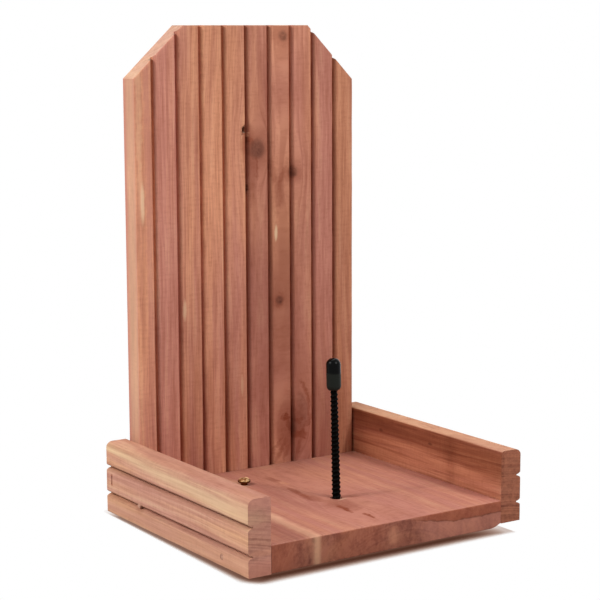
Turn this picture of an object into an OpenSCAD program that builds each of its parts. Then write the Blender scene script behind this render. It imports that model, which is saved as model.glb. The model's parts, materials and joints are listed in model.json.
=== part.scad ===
// Squirrel feeder: a grooved cedar back board, a floor between two grooved side rails,
// and a black screw that stands up from the floor to hold a corn cob, with a soft cap on its point.
// Millimetres, +Z up. The origin is the middle of the footprint, at the foot of the feeder.
// The front is towards -Y and the back board's rear face is towards +Y.

/* [Back board] */
// Width of the back board
back_w = 184.15; // [150:0.05:240]
// Thickness of the back board
back_t = 15.9; // [14:0.1:25]
// Height of the back board, from the foot of the feeder
back_h = 342.9; // [200:0.1:450]
// Width of each sawn-off top corner
clip_w = 39.7; // [15:0.1:60]
// Height of the sawn-off corner on the left
left_clip_h = 36.5; // [15:0.1:60]
// Height of the sawn-off corner on the right
right_clip_h = 39.5; // [15:0.1:60]
// Diameter of the hole that the feeder hangs from
hole_d = 4.76; // [3:0.01:8]
// Height of that hole below the top of the back board
hole_drop = 74.2; // [50:0.1:110]
// Place of that hole to the left of the middle
hole_left = 2.5; // [-6:0.1:6]

/* [Grooves] */
// Spacing of the grooves in the back board and in the side rails
groove_pitch = 19.05; // [14:0.05:24]
// Width of a groove at the surface
groove_w = 5.6; // [3:0.1:8]
// Width of the flat at the bottom of a groove
groove_flat = 1.0; // [0.4:0.1:2]
// Depth of a groove
groove_d = 3.8; // [1:0.1:6]
// Least width of the plain strip beside the outermost grooves of the back board
edge_strip_min = 12; // [8:0.5:20]

/* [Floor] */
// Depth of the floor board, from its front edge to the back board
floor_d = 174.6; // [150:0.1:240]
// Thickness of the floor board
floor_t = 19.05; // [17:0.05:26]
// Radius of the rounded top front edge of the floor board
floor_edge_r = 1.6; // [0.5:0.1:3]

/* [Side rails] */
// Height of a side rail
rail_h = 50.8; // [40:0.1:80]
// Thickness of a side rail
rail_t = 17.45; // [13:0.05:25]
// How far the right rail sits above the foot of the feeder
right_rail_lift = 2.5; // [0:0.1:5]
// Height of the lowest rail groove above the rail's own foot
rail_groove_z = 13.5; // [10:0.1:18]
// Radius of the rail's outer top edge
rail_outer_r = 5; // [1:0.1:8]
// Radius of the rail's inner top edge
rail_inner_r = 2; // [0.5:0.1:5]

/* [Corn spike] */
// Place of the spike to the right of the middle
spike_x = 4.5; // [-20:0.1:20]
// Distance of the spike in front of the back board
spike_front = 104.7; // [60:0.1:120]
// Lean of the spike away from upright, in degrees
spike_lean = 1.2; // [0:0.1:3]
// Heading of that lean, anticlockwise from +X, in degrees
spike_heading = 146.4; // [0:0.1:360]
// Length of the spike, head and point included
spike_l = 114.3; // [80:0.1:150]
// Diameter of the spike's plain shank and of its thread at the floor
spike_d = 6.4; // [5:0.1:8]
// Outer diameter of the thread where the point begins
spike_tip_d = 5.1; // [4:0.1:5]
// Length of the tapered point
spike_point_l = 9; // [4:0.1:14]
// Spacing of the thread's turns
thread_pitch = 3.1; // [2:0.1:5]
// Depth of the thread
thread_depth = 1.15; // [0.5:0.05:1.3]
// Diameter of the spike's flat head
spike_head_d = 12.6; // [9:0.1:16]
// Length of the head's cone
spike_head_l = 3.8; // [3:0.1:6]
// How far the head is let in above the underside of the floor board
spike_head_sink = 0.8; // [0.5:0.1:3]
// Width of the countersunk rim where the spike leaves the floor board
spike_rim_w = 1.0; // [0.3:0.1:2]

/* [Cap] */
// Outer diameter of the cap
cap_d = 10.1; // [9:0.1:14]
// Length of the spike that the cap covers
cap_cover = 19.8; // [12:0.1:30]
// Thickness of the cap's end above the spike's point
cap_end_t = 2.0; // [1:0.1:4]
// Radius of the cap's rounded end
cap_round = 3.6; // [1:0.1:4.4]
// Bevel at the open mouth of the cap
cap_bevel = 0.9; // [0.3:0.1:1.2]

/* [Rail nails] */
// Diameter of a nail
nail_d = 2.0; // [1.4:0.1:3]
// Diameter of a nail's head
nail_head_d = 3.8; // [3.3:0.1:6]
// Thickness of a nail's head
nail_head_t = 0.9; // [0.5:0.1:2]
// Length of a nail
nail_l = 38; // [28:0.5:50]
// Length of a nail's point
nail_point_l = 3; // [1:0.1:5]
// Distance of the front and rear nails from the ends of the floor board
nail_inset = 32; // [20:0.5:45]
// Height of the front nails above the foot of the feeder
front_nail_z = 6.3; // [4:0.1:8]
// Height of the rear nails above the foot of the feeder
rear_nail_z = 14.8; // [11:0.1:15]

/* [Rail staples] */
// Outer width of a staple's crown, which stands upright
staple_crown = 5.6; // [4:0.1:10]
// Thickness of the staple wire
staple_wire = 1.2; // [0.8:0.05:1.6]
// How far the crown is driven below the rail's outer face
staple_sink = 0.8; // [0.2:0.1:2]
// Length of the legs inside the back board
staple_bite = 12; // [6:0.5:25]
// Height of the middle of a staple above the foot of the feeder
staple_z = 24.5; // [24:0.1:26]

/* [Back screws] */
// Diameter of a screw through the back board
back_screw_d = 4.2; // [3:0.1:5]
// Diameter of its flat head
back_screw_head_d = 8.0; // [6:0.1:10]
// Length of a screw through the back board
back_screw_l = 38; // [28:0.5:55]
// Length of its point
back_screw_point_l = 5; // [2:0.1:8]
// How far its head is let in below the rear face
back_screw_sink = 0.3; // [0.1:0.1:2]
// Distance of the outer screws from the middle
back_screw_spread = 60; // [30:0.5:65]

/* [Floor screw] */
// Diameter of the brass screw in the floor
floor_screw_d = 4.8; // [3:0.1:6]
// Diameter of its domed head
floor_screw_head_d = 9.1; // [7:0.1:12]
// Height of its head
floor_screw_head_h = 3.3; // [2:0.1:5]
// Length of its shank below the head
floor_screw_l = 16; // [12:0.5:18]
// Length of its point
floor_screw_point_l = 4; // [2:0.1:6]
// How far the head stands clear of the floor board
floor_screw_proud = 2.0; // [0.5:0.1:4]
// Place of that screw to the left of the middle
floor_screw_left = 29.5; // [15:0.5:60]
// Distance of that screw in front of the back board
floor_screw_front = 38.5; // [28:0.5:50]

/* [Fits] */
// Gap between the back board and each side rail
side_gap = 1.6; // [0.5:0.05:4]
// Gap round a fastener in its hole
fastener_fit = 0.1; // [0.05:0.01:0.3]
// Gap between the thread and the bore of the cap
cap_fit = 0.1; // [0.05:0.01:0.3]
// Gap at the end of a blind hole
end_gap = 0.3; // [0.1:0.05:1]

/* [Hidden] */

// Cuts run this far past the faces that they open
over = 1;
round_fn = 64;
small_fn = 32;

floor_w = back_w + 2 * side_gap;
depth = floor_d + back_t;
front_y = -depth / 2;
rear_y = depth / 2;
back_face_y = rear_y - back_t;

groove_n = floor((back_w - 2 * edge_strip_min) / groove_pitch) + 1;
rail_groove_n = floor((rail_h - rail_groove_z - rail_outer_r - groove_w / 2) / groove_pitch) + 1;

// The spike's own lengths, measured from the foot of the feeder along its axis
spike_y = back_face_y - spike_front;
spike_top_z = spike_head_sink + spike_l;
thread_start_z = floor_t - 2 * thread_pitch;
thread_end_z = spike_top_z - spike_point_l;
thread_n = floor((thread_end_z - thread_start_z) / thread_pitch);
thread_top_z = thread_start_z + thread_n * thread_pitch;
crest_flat = 0.15 * thread_pitch;
root_flat = 0.25 * thread_pitch;
flank = (thread_pitch - crest_flat - root_flat) / 2;
spike_point_d = 0.8;

// The cross recess in the spike's head
drive_w = 1.7;
drive_l = 6.4;
drive_h = 2.4;

cap_mouth_z = spike_top_z - cap_cover;
cap_roof_z = spike_top_z + end_gap;
cap_top_z = cap_roof_z + cap_end_t;

front_nail_y = front_y + nail_inset;
rear_nail_y = back_face_y - nail_inset;
staple_y = rear_y - back_t / 2;
staple_leg_l = rail_t - staple_sink + side_gap + staple_bite;
back_screw_z = floor_t / 2;
back_screw_head_l = (back_screw_head_d - back_screw_d) / 2;
floor_screw_y = back_face_y - floor_screw_front;

// The cross recess in the brass screw's head, and the straight rim below its dome
slot_w = 1.1;
slot_l = 5.2;
slot_h = 1.6;
slot_heading = 20;
dome_rim_h = 1.15;

// Width of a fastener's tip as a share of its shank
tip_share = 0.2;

// The direction along x in which a side of the feeder lies
function way(side) = side == "left" ? -1 : 1;

// Half the thread's outer diameter at a height: it narrows from the floor to the point
function crest_r(z) =
    z <= floor_t ? spike_d / 2 :
    let (part = (z - floor_t) / (thread_end_z - floor_t))
    (spike_d + (spike_tip_d - spike_d) * min(part, 1)) / 2;

// The outline of one turn: root, crest and back to the root
function turn(z) = [
    [crest_r(z) - thread_depth, z + root_flat / 2],
    [crest_r(z + thread_pitch / 2), z + root_flat / 2 + flank],
    [crest_r(z + thread_pitch / 2), z + root_flat / 2 + flank + crest_flat],
    [crest_r(z + thread_pitch) - thread_depth, z + thread_pitch - root_flat / 2]
];

// Places its children on the spike's leaning axis, which passes through the floor's top
module on_spike() {
    translate([spike_x, spike_y, floor_t])
        rotate([0, 0, spike_heading])
            rotate([0, spike_lean, 0])
                translate([0, 0, -floor_t])
                    children();
}

// Cross-section of one groove, its mouth on y = 0 and its flat at y = groove_d
module groove_section() {
    slope = (groove_w - groove_flat) / 2 / groove_d;
    polygon([
        [-groove_w / 2 - over * slope, -over],
        [groove_w / 2 + over * slope, -over],
        [groove_flat / 2, groove_d],
        [-groove_flat / 2, groove_d]
    ]);
}

// A fastener's plain shank along +Z, narrowing to its point
module shank(d, l, point_l) {
    cylinder(d = d, h = l - point_l, $fn = small_fn);
    translate([0, 0, l - point_l])
        cylinder(d1 = d, d2 = d * tip_share, h = point_l, $fn = small_fn);
}

// Turns a fastener that points along +Z so that it points inwards from a rail's outer face
module from_side(side, y, z, sink = 0) {
    translate([way(side) * (floor_w / 2 + rail_t - sink), y, z])
        rotate([0, -way(side) * 90, 0])
            children();
}

// Turns a fastener that points along +Z so that it points forwards from the rear face
module from_back(x, z, sink = 0) {
    translate([x, rear_y - sink, z])
        rotate([90, 0, 0])
            children();
}

module nail_cut() {
    translate([0, 0, -over])
        cylinder(d = nail_head_d + 2 * fastener_fit, h = over + nail_head_t, $fn = small_fn);
    cylinder(d = nail_d + 2 * fastener_fit, h = nail_l + end_gap, $fn = small_fn);
}

module staple_legs(fit, l) {
    wire = staple_wire + 2 * fit;
    for (end = [-1, 1])
        translate([end * (staple_crown - staple_wire) / 2 - wire / 2, -wire / 2, 0])
            cube([wire, wire, l]);
}

module staple_cut() {
    wire = staple_wire + 2 * fastener_fit;
    crown = staple_crown + 2 * fastener_fit;
    translate([-crown / 2, -wire / 2, -staple_sink - over])
        cube([crown, wire, over + staple_sink + staple_wire]);
    staple_legs(fastener_fit, staple_leg_l + end_gap);
}

module back_screw_cut() {
    translate([0, 0, -back_screw_sink - over])
        cylinder(d = back_screw_head_d + 2 * fastener_fit, h = over + back_screw_sink, $fn = small_fn);
    cylinder(
        d1 = back_screw_head_d + 2 * fastener_fit,
        d2 = back_screw_d + 2 * fastener_fit,
        h = back_screw_head_l,
        $fn = small_fn
    );
    cylinder(d = back_screw_d + 2 * fastener_fit, h = back_screw_l + end_gap, $fn = small_fn);
}

module back_outline() {
    polygon([
        [-back_w / 2, 0],
        [back_w / 2, 0],
        [back_w / 2, back_h - right_clip_h],
        [back_w / 2 - clip_w, back_h],
        [-back_w / 2 + clip_w, back_h],
        [-back_w / 2, back_h - left_clip_h]
    ]);
}

module back_panel() {
    color("#b97c62")
    difference() {
        translate([0, rear_y, 0])
            rotate([90, 0, 0])
                linear_extrude(back_t)
                    back_outline();
        for (i = [0 : groove_n - 1])
            translate([(i - (groove_n - 1) / 2) * groove_pitch, back_face_y, -over])
                linear_extrude(back_h + 2 * over)
                    groove_section();
        translate([-hole_left, rear_y + over, back_h - hole_drop])
            rotate([90, 0, 0])
                cylinder(d = hole_d, h = back_t + 2 * over, $fn = small_fn);
        for (i = [-1 : 1])
            from_back(i * back_screw_spread, back_screw_z, back_screw_sink)
                back_screw_cut();
        for (side = ["left", "right"])
            from_side(side, staple_y, staple_z, staple_sink)
                staple_cut();
    }
}

module floor_section() {
    difference() {
        square([floor_d, floor_t]);
        translate([0, floor_t - floor_edge_r])
            difference() {
                translate([-over, 0])
                    square([over + floor_edge_r, floor_edge_r + over]);
                translate([floor_edge_r, 0])
                    circle(r = floor_edge_r, $fn = small_fn);
            }
    }
}

module floor_board() {
    color("#b8755a")
    difference() {
        translate([-floor_w / 2, front_y, 0])
            rotate([90, 0, 90])
                linear_extrude(floor_w)
                    floor_section();
        on_spike()
            spike_cut();
        translate([-floor_screw_left, floor_screw_y, floor_t + floor_screw_proud])
            mirror([0, 0, 1])
                cylinder(
                    d = floor_screw_d + 2 * fastener_fit,
                    h = floor_screw_l + end_gap,
                    $fn = small_fn
                );
        for (side = ["left", "right"]) {
            from_side(side, front_nail_y, front_nail_z)
                nail_cut();
            from_side(side, rear_nail_y, rear_nail_z)
                nail_cut();
        }
        for (i = [-1 : 1])
            from_back(i * back_screw_spread, back_screw_z, back_screw_sink)
                back_screw_cut();
    }
}

// The hole for the spike: open below for the head, and with a small rim where the thread comes out
module spike_cut() {
    head_d = spike_head_d + 2 * fastener_fit;
    hole_r = spike_d / 2 + fastener_fit;
    translate([0, 0, -over])
        cylinder(d = head_d, h = over + spike_head_sink, $fn = round_fn);
    translate([0, 0, spike_head_sink])
        cylinder(d1 = head_d, r2 = hole_r, h = spike_head_l, $fn = round_fn);
    translate([0, 0, -over])
        cylinder(r = hole_r, h = floor_t + 2 * over, $fn = round_fn);
    translate([0, 0, floor_t - spike_rim_w])
        cylinder(r1 = hole_r, r2 = hole_r + 2 * spike_rim_w, h = 2 * spike_rim_w, $fn = round_fn);
}

// Cross-section of a rail: x runs from its inner face outwards, y is up from its foot
module rail_section() {
    difference() {
        square([rail_t, rail_h]);
        translate([rail_t - rail_outer_r, rail_h - rail_outer_r])
            difference() {
                square(rail_outer_r + over);
                circle(r = rail_outer_r, $fn = round_fn);
            }
        translate([rail_inner_r, rail_h - rail_inner_r])
            mirror([1, 0])
                difference() {
                    square(rail_inner_r + over);
                    circle(r = rail_inner_r, $fn = round_fn);
                }
        for (i = [0 : rail_groove_n - 1])
            translate([rail_t, rail_groove_z + i * groove_pitch])
                rotate(90)
                    groove_section();
    }
}

module rail(side, lift) {
    color(side == "left" ? "#cb9478" : "#a4654a")
    difference() {
        translate([way(side) * floor_w / 2, rear_y, lift])
            mirror([side == "left" ? 1 : 0, 0, 0])
                rotate([90, 0, 0])
                    linear_extrude(depth)
                        rail_section();
        from_side(side, front_nail_y, front_nail_z)
            nail_cut();
        from_side(side, rear_nail_y, rear_nail_z)
            nail_cut();
        from_side(side, staple_y, staple_z, staple_sink)
            staple_cut();
    }
}

module spike_section() {
    polygon(concat(
        [[0, spike_head_sink]],
        [[spike_head_d / 2, spike_head_sink]],
        [[spike_d / 2, spike_head_sink + spike_head_l]],
        [[spike_d / 2, thread_start_z]],
        [for (i = [0 : thread_n - 1]) each turn(thread_start_z + i * thread_pitch)],
        [[spike_tip_d / 2 - thread_depth, thread_top_z + root_flat]],
        [[spike_point_d / 2, spike_top_z]],
        [[0, spike_top_z]]
    ));
}

module corn_spike() {
    color("#1c1b1a")
    on_spike()
        difference() {
            rotate_extrude($fn = round_fn)
                spike_section();
            for (turned = [0, 90])
                rotate(turned)
                    translate([-drive_l / 2, -drive_w / 2, spike_head_sink - over])
                        cube([drive_l, drive_w, over + drive_h]);
        }
}

// Outer outline of the cap: a bevelled mouth below and a rounded end above
module cap_outline() {
    r = cap_d / 2;
    difference() {
        translate([0, cap_mouth_z])
            square([r, cap_top_z - cap_mouth_z]);
        translate([r, cap_mouth_z])
            polygon([[-cap_bevel, -over], [over, -over], [over, cap_bevel], [0, cap_bevel], [-cap_bevel, 0]]);
        translate([r - cap_round, cap_top_z - cap_round])
            difference() {
                square(cap_round + over);
                circle(r = cap_round, $fn = round_fn);
            }
    }
}

module spike_cap() {
    bore_r = crest_r(cap_mouth_z) + cap_fit;
    color("#262a28")
    on_spike()
        difference() {
            rotate_extrude($fn = round_fn)
                cap_outline();
            translate([0, 0, cap_mouth_z - over])
                cylinder(r = bore_r, h = cap_roof_z - cap_mouth_z + over, $fn = round_fn);
        }
}

// The brass screw's dome: a low arc over a short straight rim
module dome_section() {
    r = floor_screw_head_d / 2;
    rise = floor_screw_head_h - dome_rim_h;
    arc_r = (r * r + rise * rise) / (2 * rise);
    intersection() {
        square([r, floor_screw_head_h]);
        translate([0, floor_screw_head_h - arc_r])
            circle(r = arc_r, $fn = 2 * round_fn);
    }
}

module floor_screw() {
    color("#c79a4a")
    translate([-floor_screw_left, floor_screw_y, floor_t + floor_screw_proud]) {
        difference() {
            rotate_extrude($fn = round_fn)
                dome_section();
            for (turned = [slot_heading, slot_heading + 90])
                rotate(turned)
                    translate([-slot_l / 2, -slot_w / 2, floor_screw_head_h - slot_h])
                        cube([slot_l, slot_w, slot_h + over]);
        }
        mirror([0, 0, 1])
            shank(floor_screw_d, floor_screw_l, floor_screw_point_l);
    }
}

module rail_nail(side, y, z) {
    color("#8f8d86")
    from_side(side, y, z) {
        cylinder(d = nail_head_d, h = nail_head_t, $fn = small_fn);
        shank(nail_d, nail_l, nail_point_l);
    }
}

module rail_staple(side) {
    color("#8f8d86")
    from_side(side, staple_y, staple_z, staple_sink) {
        translate([-staple_crown / 2, -staple_wire / 2, 0])
            cube([staple_crown, staple_wire, staple_wire]);
        staple_legs(0, staple_leg_l);
    }
}

module back_screw(x) {
    color("#c2a05a")
    from_back(x, back_screw_z, back_screw_sink) {
        cylinder(d1 = back_screw_head_d, d2 = back_screw_d, h = back_screw_head_l, $fn = small_fn);
        shank(back_screw_d, back_screw_l, back_screw_point_l);
    }
}

back_panel();
floor_board();
rail("left", 0);  // left_rail
rail("right", right_rail_lift);  // right_rail
corn_spike();
spike_cap();
floor_screw();
rail_nail("left", front_nail_y, front_nail_z);  // left_front_nail
rail_nail("left", rear_nail_y, rear_nail_z);  // left_rear_nail
rail_nail("right", front_nail_y, front_nail_z);  // right_front_nail
rail_nail("right", rear_nail_y, rear_nail_z);  // right_rear_nail
rail_staple("left");  // left_staple
rail_staple("right");  // right_staple
back_screw(-back_screw_spread);  // back_screw_left
back_screw(0);  // back_screw_middle
back_screw(back_screw_spread);  // back_screw_right
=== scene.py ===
import json
import math

import bmesh
import bpy
import numpy as np
from mathutils import Matrix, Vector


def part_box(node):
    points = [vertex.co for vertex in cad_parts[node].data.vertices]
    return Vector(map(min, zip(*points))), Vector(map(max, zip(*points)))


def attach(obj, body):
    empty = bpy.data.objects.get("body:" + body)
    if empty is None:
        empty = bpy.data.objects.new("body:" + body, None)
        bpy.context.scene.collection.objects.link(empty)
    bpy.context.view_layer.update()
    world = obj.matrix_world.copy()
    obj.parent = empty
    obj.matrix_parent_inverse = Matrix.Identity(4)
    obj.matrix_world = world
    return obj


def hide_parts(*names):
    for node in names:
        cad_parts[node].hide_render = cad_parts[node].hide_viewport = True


# Squirrel feeder of bare cedar. Lengths are in millimetres until they are handed to Blender.
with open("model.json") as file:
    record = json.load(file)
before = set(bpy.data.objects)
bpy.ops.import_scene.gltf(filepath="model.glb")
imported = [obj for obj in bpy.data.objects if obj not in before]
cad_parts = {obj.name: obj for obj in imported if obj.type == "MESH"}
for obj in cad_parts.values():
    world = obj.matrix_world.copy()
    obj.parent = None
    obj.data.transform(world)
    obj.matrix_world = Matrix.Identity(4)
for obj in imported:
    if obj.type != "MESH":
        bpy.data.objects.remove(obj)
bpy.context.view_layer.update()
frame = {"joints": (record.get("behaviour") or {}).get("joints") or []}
mm = 0.001


# Tools for the meshes

def nodeBox(node):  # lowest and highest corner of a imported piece
    low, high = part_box(node)
    return np.array(low) / mm, np.array(high) / mm


def eased(distance, radius):
    # How far a rounded edge falls below its face: a quarter circle over the last stretch to it
    inside = np.clip(radius - distance, 0, radius)
    return radius - np.sqrt(radius ** 2 - inside ** 2)


def ripple(u, v, seed, waves=7):
    # Smooth unevenness between -1 and 1: the mean of sine waves of random direction, length, phase
    draw = np.random.default_rng(seed)
    total = 0
    for _ in range(waves):
        turn, length = draw.uniform(0, math.tau), draw.uniform(0.5, 2)
        phase = draw.uniform(0, math.tau)
        total = total + np.sin((u * math.cos(turn) + v * math.sin(turn)) * length + phase)
    return total / waves


def gridQuads(number, keep=None):
    # The quads between the rows and columns of a table of point numbers
    quads = np.stack([number[:-1, :-1], number[1:, :-1], number[1:, 1:], number[:-1, 1:]], axis=-1)
    return quads.reshape(-1, 4) if keep is None else quads[keep]


roundLines = np.array([0, 0.268, 0.577, 1, 1.3, 1.7, 2.2])   # in radii, from a hole's middle


def pocketLines(pocket, way):
    # Grid lines that a hole needs: 24 even points round its circle, or the sides of its slot
    if "r" in pocket:
        return pocket[way] + pocket["r"] * np.concatenate([roundLines, -roundLines])
    half = pocket["half"][0 if way == "u" else 1]
    return pocket[way] + np.array([-half, 0, half])


def gridLines(start, stop, step, pockets, way, *edges):
    # The lines that pockets and edges need, and between each pair of them even ones a step apart
    special = np.concatenate([pocketLines(pocket, way) for pocket in pockets] + list(edges))
    fixed = {round(float(s), 3) for s in special if start + 0.02 < s < stop - 0.02}
    fixed = sorted(fixed | {start, stop})
    lines = list(fixed)
    for a, b in zip(fixed[:-1], fixed[1:]):
        lines += list(np.linspace(a, b, max(1, round((b - a) / step)) + 1)[1:-1])
    return np.array(sorted(lines))


def drawRound(u, v, pocket):
    # Pulls the square of lines round a hole into its circle; the pull fades out at the last line
    du, dv = u - pocket["u"], v - pocket["v"]
    square, circle = np.maximum(abs(du), abs(dv)), np.maximum(np.hypot(du, dv), 1e-6)
    pull = np.clip((roundLines[-1] - square / pocket["r"]) / (roundLines[-1] - 1), 0, 1)
    stretch = 1 + (square / circle - 1) * pull
    return pocket["u"] + du * stretch, pocket["v"] + dv * stretch


def bore(middle, radius, side, floor, narrow=1):
    # A round pocket that opens to one side and narrows by some share down to its floor
    return {"u": middle[0], "v": middle[1], "r": radius, "sides": (side,), "floor": floor,
            "narrow": narrow}


def slab(us, vs, near, far, place, pockets=()):
    # Two height fields over one grid of lines, joined round their rim. near(u, v) and far(u, v)
    # give the heights, and place(u, v, height) turns them into x, y, z. A pocket takes out the
    # cells within its outline and gets a wall: through to the other side, or down to its floor.
    gridU, gridV = np.meshgrid(us, vs, indexing="ij")
    number = np.arange(gridU.size).reshape(gridU.shape)
    points, quads, triangles, loops, count = [], [], [], {}, 2 * gridU.size
    for side, start, height in (("near", 0, near), ("far", gridU.size, far)):
        u, v = gridU, gridV
        keep = np.ones((len(us) - 1, len(vs) - 1), bool)
        for k, pocket in enumerate(pockets):
            if side not in pocket["sides"]:
                continue
            reachU, reachV = (pocket["r"],) * 2 if "r" in pocket else pocket["half"]
            i0, i1 = (int(np.argmin(abs(us - pocket["u"] - s * reachU))) for s in (-1, 1))
            j0, j1 = (int(np.argmin(abs(vs - pocket["v"] - s * reachV))) for s in (-1, 1))
            keep[i0:i1, j0:j1] = False
            loop = np.concatenate([number[i0:i1, j0], number[i1, j0:j1],
                                   number[i1:i0:-1, j1], number[i0, j1:j0:-1]])
            loops.setdefault(k, []).append(start + loop)
            if "r" in pocket:
                u, v = drawRound(u, v, pocket)
            if "floor" in pocket:
                narrow = pocket.get("narrow", 1)
                floorU, floorV = (np.append(middle + (line.ravel()[loop] - middle) * narrow, middle)
                                  for line, middle in ((u, pocket["u"]), (v, pocket["v"])))
                pocket["points"] = place(floorU, floorV, floorU * 0 + pocket["floor"])
        points.append(place(u, v, height(u, v)).reshape(-1, 3))
        quads.append(gridQuads(number + start, keep))
    for k, pair in loops.items():
        if len(pair) == 1:
            ring = count + np.arange(len(pair[0]))
            points.append(pockets[k].pop("points"))
            centre = count + len(ring)
            triangles.append(np.stack([ring, np.roll(ring, -1), ring * 0 + centre], axis=-1))
            pair.append(ring)
            count += len(ring) + 1
        a, b = pair
        quads.append(np.stack([a, np.roll(a, -1), np.roll(b, -1), b], axis=-1))
    for rim in (number[0], number[-1], number[:, 0], number[:, -1]):
        past = rim + gridU.size
        quads.append(np.stack([rim[:-1], rim[1:], past[1:], past[:-1]], axis=-1))
    faces = [list(map(int, f)) for part in quads + triangles for f in part]
    return np.concatenate(points), faces


def tubeQuads(rings, sides):
    # The point numbers of a closed tube, one row for each ring, and the quads between them
    number = np.arange(rings * sides).reshape(rings, sides)
    return number, gridQuads(np.concatenate([number, number[:, :1]], axis=1)).tolist()


def turned(radius, height):
    # Rings about the z axis. radius and height hold one row for each ring and one column for each
    # side; a fan closes the first ring and the last, at its own mean height.
    rings, sides = radius.shape
    angle = np.arange(sides) * math.tau / sides
    points = np.stack([radius * np.cos(angle), radius * np.sin(angle), height], axis=-1)
    points = points.reshape(-1, 3)
    number, faces = tubeQuads(rings, sides)
    for row, end in ((0, rings * sides), (rings - 1, rings * sides + 1)):
        ring = number[row].tolist()
        faces += [[a, b, end] for a, b in zip(ring, ring[1:] + ring[:1])]
        points = np.concatenate([points, [[0, 0, points[number[row], 2].mean()]]])
    return points, faces


def profileRings(profile, sides):
    # The radius and height of each ring, the same all round: profile is a list of both
    return [np.repeat(column[:, None], sides, axis=1) for column in np.array(profile, float).T]


def crossDip(x, y, cross):
    # A cross-shaped recess: how far each point lies inside either bar, turned into a steep dip
    arm, width, deep = cross
    along = np.minimum(width / 2 - abs(y), arm / 2 - abs(x))
    athwart = np.minimum(width / 2 - abs(x), arm / 2 - abs(y))
    return deep * np.clip(np.maximum(along, athwart) / 0.3 + 0.4, 0, 1)


def screwShape(screw, outline, above, sides):
    # A turned outline with a cross recess pressed into all of it that lies above some height
    radius, height = profileRings(outline, sides)
    angle = np.arange(sides) * math.tau / sides - screw["turn"]
    dip = crossDip(radius * np.cos(angle), radius * np.sin(angle), screw["cross"])
    return turned(radius, height - dip * (height > above))


def shaftOf(pin, start):
    # The outline of a shank from some height down to its point
    return [(pin["shank"], start), (pin["shank"], pin["point"] - pin["length"]),
            (pin["tip"], -pin["length"])]


def piece(name, shape, material, node, body="frame", sharp=35):
    # The finished object: it sits at the origin and rides on its body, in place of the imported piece
    points, faces = shape
    mesh = bpy.data.meshes.new(name)
    mesh.from_pydata((np.asarray(points) * mm).tolist(), [], faces)
    shell = bmesh.new()
    shell.from_mesh(mesh)
    bmesh.ops.delete(shell, geom=[v for v in shell.verts if not v.link_faces], context="VERTS")
    bmesh.ops.recalc_face_normals(shell, faces=shell.faces)
    shell.to_mesh(mesh)
    shell.free()
    mesh.shade_smooth()
    mesh.set_sharp_from_angle(angle=math.radians(sharp))
    mesh.materials.append(material)
    made = bpy.data.objects.new(name, mesh)
    bpy.context.scene.collection.objects.link(made)
    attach(made, body)
    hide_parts(node)
    return made


# Tools for the materials

class Wire:
    # A node socket to calculate with: each operator adds one Math node to the current tree
    tree = None

    def __init__(self, socket):
        self.socket = socket

    @classmethod
    def node(cls, kind, settings=None, inputs=None, output=0):
        # A node of any type: its settings come first, then the values or links of its sockets
        made = cls.tree.nodes.new(kind)
        for name, value in (settings or {}).items():
            if name == "stops":
                while len(made.color_ramp.elements) < len(value):
                    made.color_ramp.elements.new(1)
                for element, (position, colour) in zip(made.color_ramp.elements, value):
                    element.position, element.color = position, colour
            elif name == "between":
                made.color_ramp.interpolation = value
            else:
                setattr(made, name, value)
        for name, value in (inputs or {}).items():
            cls.plug(made.inputs[name], value)
        return cls(made.outputs[output])

    @classmethod
    def plug(cls, socket, value):
        if isinstance(value, Wire):
            cls.tree.links.new(value.socket, socket)
        else:
            socket.default_value = value

    @classmethod
    def maths(cls, operation, *values):
        return cls.node("ShaderNodeMath", {"operation": operation}, dict(enumerate(values)))

    def __abs__(self):
        return Wire.maths("ABSOLUTE", self)

    def __add__(self, other):
        return Wire.maths("ADD", self, other)

    def __sub__(self, other):
        return Wire.maths("SUBTRACT", self, other)

    def __rsub__(self, other):
        return Wire.maths("SUBTRACT", other, self)

    def __mul__(self, other):
        return Wire.maths("MULTIPLY", self, other)

    def __truediv__(self, other):
        return Wire.maths("DIVIDE", self, other)

    def __pow__(self, other):
        return Wire.maths("POWER", self, other)

    __radd__ = __add__
    __rmul__ = __mul__


def paint(*shown):
    # A colour as a screen shows it, 0 to 255, turned into the linear values that a socket holds
    shares = [c / 255 for c in shown]
    return tuple(s / 12.92 if s < 0.04 else ((s + 0.055) / 1.055) ** 2.4 for s in shares) + (1,)


def place3(x, y, z):
    return Wire.node("ShaderNodeCombineXYZ", inputs={0: x, 1: y, 2: z})


def noise(at, scale=1.0, detail=2.0, rough=0.5):
    # Noise between 0 and 1, centred on 0.5
    return Wire.node("ShaderNodeTexNoise", {"noise_dimensions": "3D"},
                     {"Vector": at, "Scale": scale, "Detail": detail, "Roughness": rough})


def fade(value, zero, one):
    # A smooth step from 0 at the value zero to 1 at the value one, whichever of them is higher
    return Wire.node("ShaderNodeMapRange", {"interpolation_type": "SMOOTHSTEP"},
                     {"Value": value, "From Min": zero, "From Max": one})


def larger(first, second):
    return Wire.maths("MAXIMUM", first, second)


def clipped(value):
    # The value itself, but no less than 0 and no more than 1
    return Wire.maths("MINIMUM", larger(value, 0.0), 1.0)


def spread(u, v):
    # The distance from where u and v are 0
    return Wire.maths("SQRT", u * u + v * v)


def blended(factor, first, second, how="MIX"):
    return Wire.node("ShaderNodeMix", {"data_type": "RGBA", "blend_type": how},
                     {0: factor, 6: first, 7: second}, output=2)


def materialOf(name, finish):
    made = bpy.data.materials.new(name)
    made.use_nodes = True
    Wire.tree = made.node_tree
    shader = made.node_tree.nodes["Principled BSDF"]
    for socket, value in finish().items():
        Wire.plug(shader.inputs[socket], value)
    return made


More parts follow.
